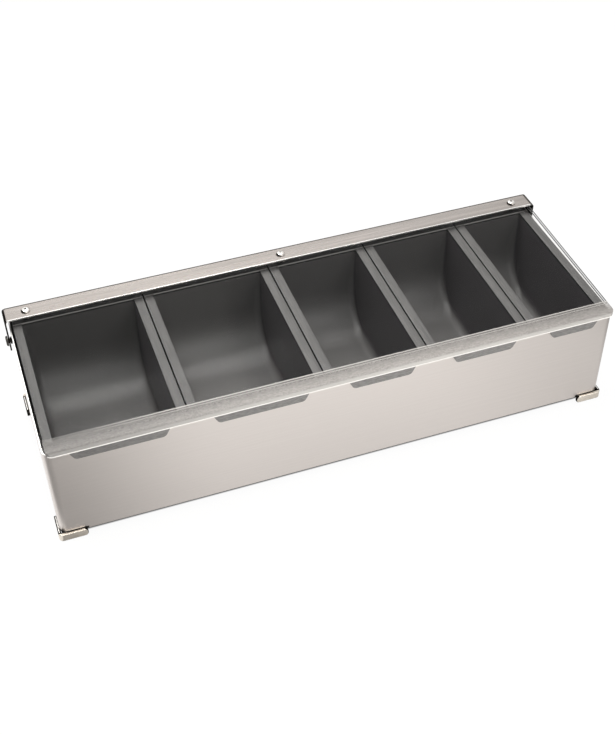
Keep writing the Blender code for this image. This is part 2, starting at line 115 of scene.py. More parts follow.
class Surface(Shading):
    # a material with its Principled shader; place is Object coordinates in metres
    def __init__(self, name, **fixed):
        self.material = bpy.data.materials.new(name)
        self.material.use_nodes = True
        super().__init__(self.material.node_tree)
        self.shader = self.tree.nodes["Principled BSDF"]
        self.fix(**fixed)
        self.place = self.node("ShaderNodeTexCoord", {}, {}, "Object")
        self.x, self.y, self.z = self.split(self.place, "XYZ")

    def split(self, vector, axes):
        return [self.node("ShaderNodeSeparateXYZ", {}, {"Vector": vector}, axis) for axis in axes]

    def facing(self, axes):  # the surface's direction, in the object's own axes
        return self.split(self.node("ShaderNodeTexCoord", {}, {}, "Normal"), axes)

    def fix(self, **fixed):
        for words, value in fixed.items():
            socket = self.shader.inputs[words.replace("_", " ")]
            socket.default_value = (*value, 1.0) if isinstance(value, tuple) else value

    def noise(self, stretch, detail=3.0, roughness=0.55, offset=(0.0, 0.0, 0.0)):
        moved = self.node("ShaderNodeMapping", {}, {"Vector": self.place, "Location": offset, "Scale": stretch})
        sockets = {"Vector": moved, "Scale": 1.0, "Detail": detail, "Roughness": roughness}
        return self.node("ShaderNodeTexNoise", {"noise_dimensions": "3D"}, sockets, "Fac")

    def mixColour(self, amount, first, second):
        settings = {"data_type": "RGBA"}
        sockets = {0: amount, 6: first if isinstance(first, Wire) else (*first, 1.0)}
        sockets[7] = second if isinstance(second, Wire) else (*second, 1.0)
        return self.node("ShaderNodeMix", settings, sockets, 2)

    def dimmed(self, share, colour):
        return self.mixColour(share, (0.0, 0.0, 0.0), colour)

    def bump(self, height, distance, strength=1.0):
        sockets = {"Strength": strength, "Distance": distance, "Height": height}
        return self.node("ShaderNodeBump", {}, sockets, "Normal")

    def feed(self, **wires):
        for words, wire in wires.items():
            self.tree.links.new(wire.socket, self.shader.inputs[words.replace("_", " ")])


# camera: the photograph's own viewing angle

cameraValues = {
    "place": (-0.23578, -0.68796, 0.71015),
    "azimuth": -18.69,
    "elevation": 42.82,
    "roll": -0.92,
    "lens": 58.49,
    "sensor": 36.0,
    "nearest": 10 * mm,
}


def addCamera(values):
    azimuth, elevation, roll = (math.radians(values[k]) for k in ("azimuth", "elevation", "roll"))
    ahead = Vector((
        -math.sin(azimuth) * math.cos(elevation),
        math.cos(azimuth) * math.cos(elevation),
        -math.sin(elevation),
    ))
    level = Vector((math.cos(azimuth), math.sin(azimuth), 0.0))
    upright = level.cross(ahead)
    right = math.cos(roll) * level + math.sin(roll) * upright
    up = math.cos(roll) * upright - math.sin(roll) * level
    data = bpy.data.cameras.new("photoCamera")
    data.lens = values["lens"]
    data.sensor_width = values["sensor"]
    data.clip_start = values["nearest"]
    camera = bpy.data.objects.new("photoCamera", data)
    turn = Matrix((right, up, -ahead)).transposed().to_4x4()
    camera.matrix_world = Matrix.Translation(values["place"]) @ turn
    scene.collection.objects.link(camera)
    scene.camera = camera


addCamera(cameraValues)
print("camera set")


# studio: white floor and backdrop, a large soft light overhead and two fills from the front

lightValues = {
    "colour": (1.0, 0.985, 0.96),
    "topSoftbox": {"place": (-0.14, 0.30, 1.15), "target": (0.0, 0.0, 0.05), "size": (1.0, 0.8), "watts": 18.0},
    "frontFill": {"place": (-0.05, -0.62, 0.046), "target": (-0.05, 0.0, 0.046), "size": (1.3, 0.09), "watts": 2.4},
    "highFill": {"place": (0.30, -1.05, 0.95), "target": (0.05, 0.0, 0.06), "size": (0.9, 0.7), "watts": 7.0},
}
skyValues = {
    "colour": (1.0, 0.99, 0.975),
    "strength": 0.27,
    "dimmingSpan": (0.02, 0.62),  # how far to the right, as the X of a direction
    "rightDimming": 0.15,
}
floorValues = {
    "size": 4.0,
    "drop": 0.2 * mm,
    "glow": 0.93,
    "diffuse": 0.08,
    "litColour": (0.8, 0.8, 0.79),
    "shadowColour": (0.002, 0.002, 0.002),
    "shadowDepth": 0.97,
    "shadowEnds": (227.6 * mm, 228.4 * mm),
    "shadowFront": (-76.8 * mm, -74.5 * mm),
    "shadowRear": (74 * mm, 78 * mm),
    # what steel mirrors; four numbers are where a change along X or Y starts and ends, and its value there
    "leftGlow": 0.24,
    "frontGlow": 0.84,
    "rightGlow": 0.68,
    "leftSpan": (-0.275, -0.078),
    "middle": (-0.05, 0.10, 0.97, 1.0),
    "besideSlant": 0.35,
    "besideSpan": (-0.180, -0.160),
    "besideEnd": (-229.8 * mm, -229.1 * mm),
    "farLeft": (-0.62, -0.50, 0.7, 0.0),
    "rightSpan": (0.10, 0.26),
    "farRight": (0.27, 0.36, 1.0, 0.4),
    "behindSpan": (0.07, 0.10),
    "behindCorners": (0.17, 0.20),
    "behindDepth": 0.85,
    "farBehind": (0.12, 0.32, 0.0, -0.7),
    "frontDimming": (-0.20, -0.082, 0.0, 0.09),
    "beneathEnds": (228.8 * mm, 229.6 * mm),
    "beneathSides": (73.5 * mm, 78.5 * mm),
    "beneathDepth": 0.86,
}


def addLight(name, values, colour):
    data = bpy.data.lights.new(name, "AREA")
    data.shape = "RECTANGLE"
    data.size, data.size_y = values["size"]
    data.energy = values["watts"]
    data.color = colour
    light = bpy.data.objects.new(name, data)
    light.location = values["place"]
    ahead = Vector(values["target"]) - Vector(values["place"])
    light.rotation_euler = ahead.to_track_quat("-Z", "Y").to_euler()
    scene.collection.objects.link(light)


def makeWorld(v):
    world = bpy.data.worlds.new("studioWorld")
    scene.world = world
    world.use_nodes = True
    sky = Shading(world.node_tree)
    sky.tree.nodes.clear()
    camera, glossy, through = sky.rays()
    seen = camera.larger(glossy).larger(through)
    dim = sky.node("ShaderNodeBackground", {}, {"Color": (*v["colour"], 1.0), "Strength": v["strength"]})
    # what metal mirrors of the studio grows dimmer towards its right
    toward = sky.node("ShaderNodeTexCoord", {}, {}, "Generated")
    aside = sky.node("ShaderNodeSeparateXYZ", {}, {"Vector": toward}, "X")
    strength = 1.0 - glossy * aside.ramp(*v["dimmingSpan"], 0.0, v["rightDimming"])
    white = sky.node("ShaderNodeBackground", {}, {"Color": (1.0, 1.0, 1.0, 1.0), "Strength": strength})
    choose = sky.node("ShaderNodeMixShader", {}, {0: seen, 1: dim, 2: white})
    sky.node("ShaderNodeOutputWorld", {}, {"Surface": choose})


def mirroredGlow(surface, v):
    # painted reflection: the steel mirrors a floor that glows dim at both ends, behind the tray and in a painted
    # shadow under it
    x, y = surface.x, surface.y
    front = x.ramp(*v["leftSpan"], v["leftGlow"], v["frontGlow"]) * x.ramp(*v["middle"])
    beside = (x * v["besideSlant"] + y).ramp(*v["besideSpan"]) * x.fall(*v["besideEnd"])
    glow = beside * (1.0 - front) + front + x.ramp(*v["farLeft"])
    glow = glow * x.ramp(*v["rightSpan"], 1.0, v["rightGlow"] / v["frontGlow"])
    glow = glow * x.ramp(*v["farRight"])
    behind = y.ramp(*v["behindSpan"]) * (1 - beside)
    corners = x.size().ramp(*v["behindCorners"])
    glow = glow * (1 - behind * corners * v["behindDepth"]) * ((1 - beside) * y.ramp(*v["farBehind"]) + 1.0)
    glow = glow * (1 - (1 - beside) * y.ramp(*v["frontDimming"]))
    beneath = x.size().fall(*v["beneathEnds"]) * y.size().fall(*v["beneathSides"])
    return glow * (1 - beneath * v["beneathDepth"])


def makeFloor(v):
    bm = bmesh.new()
    bmesh.ops.create_grid(bm, x_segments=1, y_segments=1, size=v["size"] / 2)
    mesh = bpy.data.meshes.new("studioFloor")
    bm.to_mesh(mesh)
    bm.free()
    floor = bpy.data.objects.new("studioFloor", mesh)
    floor.location = (0.0, 0.0, -v["drop"])
    scene.collection.objects.link(floor)
    surface = Surface("floorWhite")
    surface.tree.nodes.remove(surface.shader)
    camera, glossy, through = surface.rays()
    seen = camera.math("ADD", camera + glossy, through, clamp=True)
    mirrored = mirroredGlow(surface, v)
    # painted shadow: the camera finds the same shadow under the tray, through the slits beside the feet
    shadow = surface.x.size().fall(*v["shadowEnds"]) * surface.y.ramp(*v["shadowFront"])
    shadow = shadow * surface.y.fall(*v["shadowRear"])
    plainGlow = (1 - shadow * v["shadowDepth"]) * v["glow"]
    glow = surface.node("ShaderNodeMix", {"data_type": "FLOAT"}, {0: glossy, 2: plainGlow, 3: mirrored})
    emission = surface.node("ShaderNodeEmission", {}, {"Strength": glow})
    faintColour = surface.mixColour(shadow, (v["diffuse"],) * 3, v["shadowColour"])
    faint = surface.node("ShaderNodeBsdfDiffuse", {}, {"Color": faintColour})
    both = surface.node("ShaderNodeAddShader", {}, {0: emission, 1: faint})
    lit = surface.node("ShaderNodeBsdfDiffuse", {}, {"Color": (*v["litColour"], 1.0)})
    choose = surface.node("ShaderNodeMixShader", {}, {0: seen, 1: lit, 2: both})
    output = next(n for n in surface.tree.nodes if n.type == "OUTPUT_MATERIAL")
    surface.tree.links.new(choose.socket, output.inputs["Surface"])
    mesh.materials.append(surface.material)


makeWorld(skyValues)
makeFloor(floorValues)
for lightName in ("topSoftbox", "frontFill", "highFill"):
    addLight(lightName, lightValues[lightName], lightValues["colour"])
print("studio set")


# finishes; four numbers in a dictionary are where a change along an axis starts and ends, and its value there

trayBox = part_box("tray_body")
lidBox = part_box("lid_panel")
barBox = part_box("hinge_bar")
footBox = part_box("foot_front_left")
# painted shade: the colour of the marks that stand for shade on the steel
paintedShadeColour = (0.012, 0.011, 0.010)

steelValues = {
    "colour": (0.740, 0.688, 0.650),
    "dullColour": (0.708, 0.657, 0.620),
    # painted highlights on the bar's front edge and on the tray's rim
    "edgeHighlightColour": (0.97, 0.95, 0.92),
    "rimColour": (0.97, 0.96, 0.94),
    "roughness": 0.36,
    "streakLength": 7.0,
    "streakFineness": 900.0,
    "streakDepth": 0.007 * mm,
    "grainLength": 9.0,
    "grainFineness": 3.2,
    "cloud": (5.0, 14.0, 14.0),
    "rim": 0.3 * mm,
    "bend": 2.0 * mm,
    "sideways": (900.0, 7.0, 900.0),
}


def brushedSteel(name, values, turnsAt, shadeAt, edgeAt=None, rimAt=None):
    # lengthwise brushing, which turns sideways on the folded ends past turnsAt; the cut edge in front of edgeAt
    # or above rimAt is painted pale as a painted highlight; shadeAt gives the mask of what is painted dark as shade
    surface = Surface(name, Metallic=1.0)
    surface.fix(Specular_IOR_Level=0.0)  # only the painted shade is not metal, and it is matt
    long, fine, ratio = values["streakLength"], values["streakFineness"], values["grainFineness"]
    along = surface.noise((long, fine, fine), 4.0)
    grain = surface.noise((long * values["grainLength"], fine * ratio, fine * ratio), 2.0, 0.6, (0.3, 0.1, 0.7))
    ends = surface.x.size().ramp(turnsAt, turnsAt + 0.4 * mm)
    across = surface.noise(values["sideways"], 4.0)
    acrossGrain = surface.noise(tuple(ratio * s for s in values["sideways"]), 2.0, 0.6, (0.3, 0.1, 0.7))
    along = ends * (across - along) + along
    grain = ends * (acrossGrain - grain) + grain
    cloud = surface.noise(values["cloud"], 2.0, 0.5, (4.0, 2.0, 9.0))
    tone = along.ramp(0.30, 0.70) * 0.55 + grain.ramp(0.3, 0.7) * 0.25 + cloud.ramp(0.3, 0.7) * 0.20
    colour = surface.mixColour(tone, values["dullColour"], values["colour"])
    if edgeAt is not None:
        colour = surface.mixColour(surface.y.fall(edgeAt, edgeAt + 0.3 * mm), colour, values["edgeHighlightColour"])
    if rimAt is not None:
        colour = surface.mixColour(surface.z.ramp(rimAt, rimAt + 0.1 * mm), colour, values["rimColour"])
    shadeMask = shadeAt(surface)
    surface.feed(
        Base_Color=surface.mixColour(shadeMask, colour, paintedShadeColour),
        Metallic=1.0 - shadeMask,
        Roughness=shadeMask * 0.5 + (tone * -0.10 + (values["roughness"] + 0.05)),
        Normal=surface.bump(along * 0.7 + grain * 0.3, values["streakDepth"], 0.6),
    )
    return surface.material


trayShadeValues = {
    "soft": 0.1 * mm,
    "wallInset": 0.75 * mm,
    "belowRim": 0.5 * mm,
    "slitReach": 60.0 * mm,
    "slitEnds": (70.0 * mm, 71.0 * mm),
    "rimEnds": (-227.0 * mm, -226.0 * mm),
    "aboveFoot": 1.0 * mm,
    "besideFoot": 1.2 * mm,
    "lineSoft": 0.2 * mm,
    "bendAlong": (223.5 * mm, 225.5 * mm),
    "bendAcross": (74.0 * mm, 76.0 * mm),
    "bendRise": 0.6 * mm,
    "cornerAlong": (1.4 * mm, 0.6 * mm),
    "corner": (-74.8 * mm, -74.0 * mm, 0.45, 0.0),
}


def trayPaintedShade(surface):
    # painted shade: the wall beside the bins below the rim, and a line round each foot
    v = trayShadeValues
    x, y, z, soft, lineSoft = surface.x, surface.y, surface.z, v["soft"], v["lineSoft"]
    wall = trayBox[1].x - v["wallInset"]
    slit = x.size().fall(wall - soft, wall + soft) * y.size().fall(*v["slitEnds"])
    slit = slit * z.fall(trayBox[1].z - v["belowRim"], trayBox[1].z - 0.2 * mm)
    rim = x.ramp(-wall - soft, -wall + soft) * x.fall(*v["rimEnds"])
    slit = slit.larger(rim * y.size().fall(*v["slitEnds"])) * z.ramp(v["slitReach"], v["slitReach"] + 2 * mm)
    bend = x.size().ramp(*v["bendAlong"]) * y.size().ramp(*v["bendAcross"])
    top = footBox[1].z + v["aboveFoot"]
    endX, endY = -footBox[1].x - v["besideFoot"], -footBox[1].y - v["besideFoot"]
    line = (z + bend * v["bendRise"]).fall(top - lineSoft, top + lineSoft)
    line = line * x.size().ramp(endX - lineSoft, endX + lineSoft) * y.size().ramp(endY - lineSoft, endY + lineSoft)
    corner = x.ramp(*(trayBox[1].x - inset for inset in v["cornerAlong"])) * y.ramp(*v["corner"])
    return slit.larger(line).larger(corner)


# painted shade: the bar's steel is given a darker colour than the tray's
barValues = dict(
    steelValues, colour=(0.60, 0.552, 0.517), dullColour=(0.35, 0.321, 0.300), roughness=0.27, streakFineness=420.0,
    streakDepth=0.012 * mm, bend=3.5 * mm, sideways=(900.0, 900.0, 7.0), frontEdge=0.85 * mm,
)
barShadeValues = {
    "ends": (1.5 * mm, 1.3 * mm),
    "folds": (2.1 * mm, 1.8 * mm),
    "foldsDown": (2.0 * mm, 1.6 * mm),
    "rear": (1.3 * mm, 1.0 * mm, 0.9),
    "right": (3.6 * mm, 3.2 * mm, 0.85),
}


def barPaintedShade(surface):
    # painted shade: the folded ends, the right end and the rear edge of the bar are painted dark; each place is
    # measured inwards from its limit
    v = barShadeValues
    limit = barBox[1]
    ends = surface.x.size().ramp(*(limit.x - inset for inset in v["ends"]))
    folds = surface.x.size().ramp(*(limit.x - inset for inset in v["folds"])) * surface.z.ramp(
        *(limit.z - inset for inset in v["foldsDown"]))
    rear = surface.y.ramp(limit.y - v["rear"][0], limit.y - v["rear"][1], 0.0, v["rear"][2])
    right = surface.x.ramp(limit.x - v["right"][0], limit.x - v["right"][1], 0.0, v["right"][2])
    return ends.larger(folds.larger(right)).larger(rear)


def polishedSteel(name, values, stretch):
    # returns the surface, its colour and its wear
    surface = Surface(name, Metallic=1.0)
    polish = surface.noise(stretch, 3.0).ramp(0.3, 0.72)
    wear = surface.noise((90.0, 90.0, 90.0), 4.0, 0.6, (2.0, 5.0, 1.0)).ramp(0.4, 0.7)
    colour = surface.mixColour(polish * 0.7 + wear * 0.3, values["dullColour"], values["colour"])
    return surface, colour, wear


footValues = {
    "thick": 2.4 * mm,
    "grow": 0.6 * mm,
    "growSide": {-1: 0.35 * mm, 1: 0.8 * mm},  # of the front feet and of the rear feet
    "bend": 3.5 * mm,
    "endRadius": 3.0 * mm,
    "edge": 0.55 * mm,
    "colour": (0.88, 0.82, 0.73),
    "dullColour": (0.74, 0.67, 0.58),
    "lowColour": (0.05, 0.046, 0.04),
    "topColour": (0.97, 0.95, 0.91),
    "roughness": 0.30,
    "armLines": (0.85 * mm, 1.00 * mm),  # how wide a side arm's outer and inner lines are
    "frontLine": 0.45 * mm,
    "armFrom": (3.2 * mm, 2.2 * mm),  # behind the front strip a side arm starts
    "armInside": (0.4 * mm, 0.2 * mm),  # and it ends a little inside its own inner face
}


def footSteel(name, v):
    # painted shade: the rolled edges, the faces turned down and the sides that face the tray are painted dark
    surface, colour, wear = polishedSteel(name, v, (260.0, 260.0, 700.0))
    surface.fix(Specular_IOR_Level=0.0)
    faceX, faceY, faceZ = surface.facing("XYZ")
    x, y, z = surface.x, surface.y, surface.z
    base, top, soft = footBox[0].z, footBox[1].z, 0.1 * mm
    rolled = faceX.size().ramp(0.45, 0.75) * z.ramp(top - 0.5 * mm, top - 0.3 * mm)
    low = faceZ.fall(-0.6, -0.2)
    inwardX = 0.0 - faceX * x.math("SIGN", x)
    inwardY = 0.0 - faceY * y.math("SIGN", y)
    dark = rolled.larger(low).larger(inwardX.larger(inwardY).ramp(0.15, 0.35))
    # from above, each side arm is a painted highlight, a bright line, between two dark lines of painted shade
    outward = x.size() - y.ramp(-0.01, 0.01, v["growSide"][-1], v["growSide"][1])
    outerLine = -footBox[0].x - v["armLines"][0]
    inner = -footBox[0].x - v["thick"]
    innerLine = inner + v["armLines"][1]
    twoLines = outward.ramp(outerLine - soft, outerLine + soft) + outward.fall(innerLine - soft, innerLine + soft)
    arm = y.size().fall(*(-footBox[0].y - inset for inset in v["armFrom"])) * outward.ramp(
        *(inner - inset for inset in v["armInside"]))
    behind = -footBox[0].y + v["grow"] - v["thick"] + v["frontLine"]
    oneLine = y.size().fall(behind - soft, behind + soft) * (1 - arm)
    dark = dark.larger((twoLines * arm + oneLine) * faceZ.ramp(0.2, 0.5))
    # painted shade darkens the foot towards its base and on its upturned faces, and the tops of the side arms get a
    # painted highlight
    light = z.ramp(base, top - 1.5 * mm, 0.92, 1.0) * faceZ.ramp(0.3, 0.9, 1.0, 0.78)
    colour = surface.mixColour(light, v["lowColour"], colour)
    colour = surface.mixColour(arm * faceZ.ramp(0.5, 0.8), colour, v["topColour"])
    surface.feed(
        Base_Color=surface.mixColour(dark, colour, paintedShadeColour),
        Roughness=dark * 0.5 + wear * 0.10 + v["roughness"],
        Metallic=1.0 - dark,
    )
    return surface.material


pinValues = {"colour": (0.09, 0.085, 0.077), "dullColour": (0.03, 0.028, 0.026), "roughness": 0.34}


def pinSteel(name, values):
    surface, colour, wear = polishedSteel(name, values, (300.0, 300.0, 300.0))
    surface.feed(Base_Color=colour, Roughness=wear * 0.10 + values["roughness"])
    return surface.material


spacerValues = {"colour": (0.045, 0.042, 0.040), "darkColour": (0.018, 0.017, 0.016), "roughness": 0.40}


def spacerSteel(name, values):
    surface = Surface(name, Metallic=0.7)
    spots = surface.noise((420.0, 420.0, 420.0), 3.0).ramp(0.3, 0.7)
    surface.feed(
        Base_Color=surface.mixColour(spots, values["darkColour"], values["colour"]),
        Roughness=spots * 0.15 + values["roughness"],
    )
    return surface.material


rivetValues = {
    "colour": (0.93, 0.91, 0.87),
    "dullColour": (0.84, 0.81, 0.76),
    "rimColour": (0.55, 0.51, 0.48),
    "dimpleColour": (0.06, 0.055, 0.05),
    "sideShadeColour": (0.03, 0.028, 0.025),
    "roughness": 0.22,
    "rim": (2.4 * mm, 2.9 * mm),
    "dimple": (0.8 * mm, 1.2 * mm),
    "depth": 0.85,
}


def rivetSteel(name, v):
    # a polished dome, with painted shade on the side that faces the left end
    surface = Surface(name, Metallic=1.0)
    faceX, faceY = surface.facing("XY")
    shadedSide = (faceX + faceY * 0.5).fall(-0.62, -0.38)
    polish = surface.noise((500.0, 500.0, 500.0), 3.0).ramp(0.3, 0.7)
    colour = surface.mixColour(polish, v["dullColour"], v["colour"])
    # painted shade: the rim of the dome is painted as dull as the bar, and the dimple dark
    low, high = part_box("lid_rivet_left")
    aside = (surface.x.size() + (low.x + high.x) / 2).size()
    aside = aside.math("MINIMUM", aside, surface.x.size())
    ahead = surface.y - (low.y + high.y) / 2
    spread = aside * aside + ahead * ahead
    rim = spread.ramp(*(radius ** 2 for radius in v["rim"]), 0.0, v["depth"])
    dimple = spread.ramp(*(radius ** 2 for radius in v["dimple"]), v["depth"], 0.0)
    colour = surface.mixColour(rim, colour, v["rimColour"])
    colour = surface.mixColour(dimple, colour, v["dimpleColour"])
    surface.feed(
        Base_Color=surface.mixColour(shadedSide, colour, v["sideShadeColour"]),
        Roughness=polish * 0.08 + v["roughness"],
    )
    return surface.material


plasticValues = {
    "colour": (0.074, 0.0718, 0.0710),
    "lightColour": (0.096, 0.0936, 0.0916),
    "roughness": 0.47,
    "grainSize": 0.42 * mm,
    "grainDepth": 0.020 * mm,
    "cloud": (26.0, 26.0, 26.0),
    # flanges
    "flangeDepth": (1.6 * mm, 0.8 * mm),
    "flangeColour": (0.16, 0.157, 0.153),
    "flangeLight": (-0.12, 0.0, 0.16, 0.32),
    "flangeDimming": (-0.226, -0.216, 0.90, 1.0),
    "strands": (800.0, 55.0, 800.0),
    "strandContrast": (0.36, 0.66, 0.74, 1.0),
    "edgeColour": (0.006, 0.006, 0.006),
    # hollows
    "hollowDimming": (-0.20, -0.10, 0.78, 0.97),
    "rightWallTint": (0.044, 0.041, 0.044),
    "wideBins": (-0.04, -0.02),
    "floorDimming": (0.018, 0.040, 0.20, 0.0),
    "scoopColour": (0.125, 0.123, 0.120),
    "scoopSpan": (0.024, 0.036, 0.046, 0.060),
    "scoopLight": 0.45,
    "backColour": (0.115, 0.112, 0.113),
    "backSpan": (0.056, 0.064),
    "backLight": 0.30,
    "secondBin": (-0.15, -0.12, -0.06, -0.04),
    "secondColour": (0.115, 0.113, 0.110),
    "secondLight": 0.5,
    # the line along the rear of each mouth
    "rearBrink": 11.5 * mm,
    "brinkColour": (0.36, 0.35, 0.34),
    "brinkShadow": (0.004, 0.004, 0.004),
    "brinkDepth": 0.75,
    # finger tabs
    "tabFace": (0.15 * mm, 0.45 * mm),
    "tabThick": (1.3 * mm, 1.5 * mm),
    "tabLightness": 1.85,
    "tabStreaks": (0.70, 1.16),
    "tabShading": ((-0.20, -0.12, 0.69, 0.93), (-0.06, -0.03, 0.0, 0.08), (0.12, 0.17, 0.0, 0.06)),
    "tabEdgeColour": (0.012, 0.012, 0.012),
}


def paintedTabFace(surface, v):
    # painted light: the face of the tab is painted paler than the rest, in streaks, and painted shade darkens it
    # towards the left end
    streaks = surface.noise((240.0, 900.0, 900.0), 3.0, 0.6, (2.0, 2.0, 6.0)).ramp(0.30, 0.70)
    dull, light = (tuple(v["tabLightness"] * share * c for c in v["lightColour"]) for share in v["tabStreaks"])
    left, middle, right = (surface.x.ramp(*span) for span in v["tabShading"])
    return surface.dimmed(left + middle - right, surface.mixColour(streaks, dull, light))


def grainedPlastic(name, v):
    surface = Surface(name, Specular_IOR_Level=0.5)
    x, y, z = surface.x, surface.y, surface.z
    rate = 1.0 / v["grainSize"]
    grain = surface.noise((rate, rate, rate), 3.0, 0.6)
    speckle = surface.noise((rate * 0.45, rate * 0.45, rate * 0.45), 3.0, 0.65, (7.0, 3.0, 1.0))
    cloud = surface.noise(v["cloud"], 2.0, 0.5, (1.0, 8.0, 2.0)).ramp(0.3, 0.7)
    tone = speckle.ramp(0.32, 0.70) * 0.75 + cloud * 0.25
    colour = surface.mixColour(tone, v["colour"], v["lightColour"])
    faceX, faceZ = surface.facing("XZ")
    low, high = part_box("insert_1")
    tab = y.fall(*(low.y + reach for reach in v["tabThick"]))
    inside = z.fall(*(high.z - drop for drop in v["flangeDepth"]))
    wide = x.fall(*v["wideBins"]) * inside
    # painted light: the flanges are painted paler than the hollows, paler towards the right, and streaked
    strands = surface.noise(v["strands"], 3.0, 0.6, (6.0, 1.0, 4.0)).ramp(*v["strandContrast"])
    colour = surface.mixColour((1 - inside) * x.ramp(*v["flangeLight"]), colour, v["flangeColour"])
    colour = surface.dimmed(strands * (1 - inside) + inside, colour)
    # painted light: in the two wide bins the foot of the scoop is painted lighter, and in the others its top
    lit = wide * y.ramp(*v["scoopSpan"][:2]) * y.fall(*v["scoopSpan"][2:])
    colour = surface.mixColour(lit * v["scoopLight"], colour, v["scoopColour"])
    back = inside * y.ramp(*v["backSpan"]) * x.ramp(*v["wideBins"])
    colour = surface.mixColour(back * v["backLight"], colour, v["backColour"])
    # the walls at the right of each hollow and the bins at the left end take less light
    rightWall = faceX.fall(-0.93, -0.70) * inside * (1 - tab)
    colour = surface.mixColour(rightWall, colour, v["rightWallTint"])
    endShade = inside * (x.ramp(*v["hollowDimming"]) - 1.0) + 1.0
    endShade = endShade * (1 - wide * y.ramp(*v["floorDimming"]))
    flangeShade = (1 - inside) * (x.ramp(*v["flangeDimming"]) - 1.0) + 1.0
    colour = surface.dimmed(endShade * flangeShade, colour)
    # painted light: the hollow of the second bin is painted lighter
    second = inside * x.ramp(*v["secondBin"][:2]) * x.fall(*v["secondBin"][2:])
    colour = surface.mixColour(second * (1 - rightWall) * v["secondLight"], colour, v["secondColour"])
    # the rear brink of each mouth is a painted highlight, a pale line between two dark ones of painted shade
    brink, top = high.y - v["rearBrink"], high.z
    above = y.ramp(brink + 0.4 * mm, brink + 0.6 * mm) * z.ramp(top - 1.2 * mm, top - 0.8 * mm)
    under = y.ramp(brink - 0.9 * mm, brink - 0.6 * mm) * z.ramp(top - 2.6 * mm, top - 2.2 * mm)
    under = under * z.fall(top - 1.1 * mm, top - 0.8 * mm)
    line = y.ramp(brink - 0.6 * mm, brink - 0.4 * mm) * y.fall(brink + 0.4 * mm, brink + 0.6 * mm)
    line = line * z.ramp(top - 0.8 * mm, top - 0.6 * mm)
    colour = surface.mixColour(above.larger(under) * v["brinkDepth"], colour, v["brinkShadow"])
    colour = surface.mixColour(line, colour, v["brinkColour"])
    # painted shade: the upright edges of the flanges are painted black
    upright = faceX.size().ramp(0.55, 0.80) * z.ramp(top - 2.1 * mm, top - 1.8 * mm) * (1 - tab)
    colour = surface.mixColour(upright, colour, v["edgeColour"])
    # the face of the tab is painted paler as painted light, and its edges are painted dark as painted shade
    face = y.fall(*(low.y + reach for reach in v["tabFace"]))
    colour = surface.mixColour(face, colour, paintedTabFace(surface, v))
    side = faceX.size().larger(0.0 - faceZ).ramp(0.25, 0.6)
    surface.feed(
        Base_Color=surface.mixColour(side * tab, colour, v["tabEdgeColour"]),
        Roughness=grain.ramp(0.3, 0.7) * 0.10 + (v["roughness"] - 0.05),
        Normal=surface.bump(grain, v["grainDepth"], 0.55),
    )
    return surface.material


steelOfTray = brushedSteel(
    "trayBrushedSteel", steelValues, trayBox[1].x - steelValues["bend"],
    rimAt=trayBox[1].z - steelValues["rim"], shadeAt=trayPaintedShade,
)
steelOfBar = brushedSteel(
    "barBrushedSteel", barValues, barBox[1].x - barValues["bend"],
    edgeAt=barBox[0].y + barValues["frontEdge"], shadeAt=barPaintedShade,
)
steelOfFeet = footSteel("footBrightSteel", footValues)
steelOfPins = pinSteel("pinDarkSteel", pinValues)
steelOfSpacers = spacerSteel("spacerDarkSteel", spacerValues)
steelOfRivets = rivetSteel("rivetSteel", rivetValues)
plasticOfBins = grainedPlastic("binGrainedPlastic", plasticValues)
print("finishes made")


# copies of CAD pieces with merged surfaces, softened edges and smooth bends

def newPiece(name, bm, material):
    mesh = bpy.data.meshes.new(name)
    bm.to_mesh(mesh)
    bm.free()
    mesh.materials.append(material)
    piece = bpy.data.objects.new(name, mesh)
    scene.collection.objects.link(piece)
    return piece


def onlyVerts(geometry):
    return [g for g in geometry if isinstance(g, bmesh.types.BMVert)]


def smoothBends(piece, angle):
    piece.data.shade_smooth()
    piece.data.set_sharp_from_angle(angle=math.radians(angle))


def addBevel(piece, name, width, segments, angle):
    soften = piece.modifiers.new(name, "BEVEL")
    soften.width = width
    soften.segments = segments
    soften.limit_method = "ANGLE"
    soften.angle_limit = math.radians(angle)
    soften.harden_normals = True


def softCopy(nodeName, pieceName, material, slot, bevel, segments, body="tray", angle=35):
    bm = bmesh.new()
    bm.from_mesh(nodes[nodeName].data)
    bmesh.ops.remove_doubles(bm, verts=bm.verts, dist=0.002 * mm)
    bmesh.ops.dissolve_limit(
        bm, angle_limit=math.radians(0.6), verts=bm.verts, edges=bm.edges, use_dissolve_boundaries=False
    )
    piece = newPiece(pieceName, bm, material)
    smoothBends(piece, angle)
    addBevel(piece, "softEdges", bevel, segments, angle + 3)
    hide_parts(nodeName)
    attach(piece, body)
    return piece


softEdges = {
    "tray": 0.25 * mm,
    "bar": 0.52 * mm,
    "pins": 0.12 * mm,
    "rivets": 0.08 * mm,
    "lid": 0.3 * mm,
}
softCopy("tray_body", "steelTray", steelOfTray, "brushed_steel", softEdges["tray"], 3)
softCopy("hinge_bar", "steelHingeBar", steelOfBar, "brushed_steel", softEdges["bar"], 4, "lid")


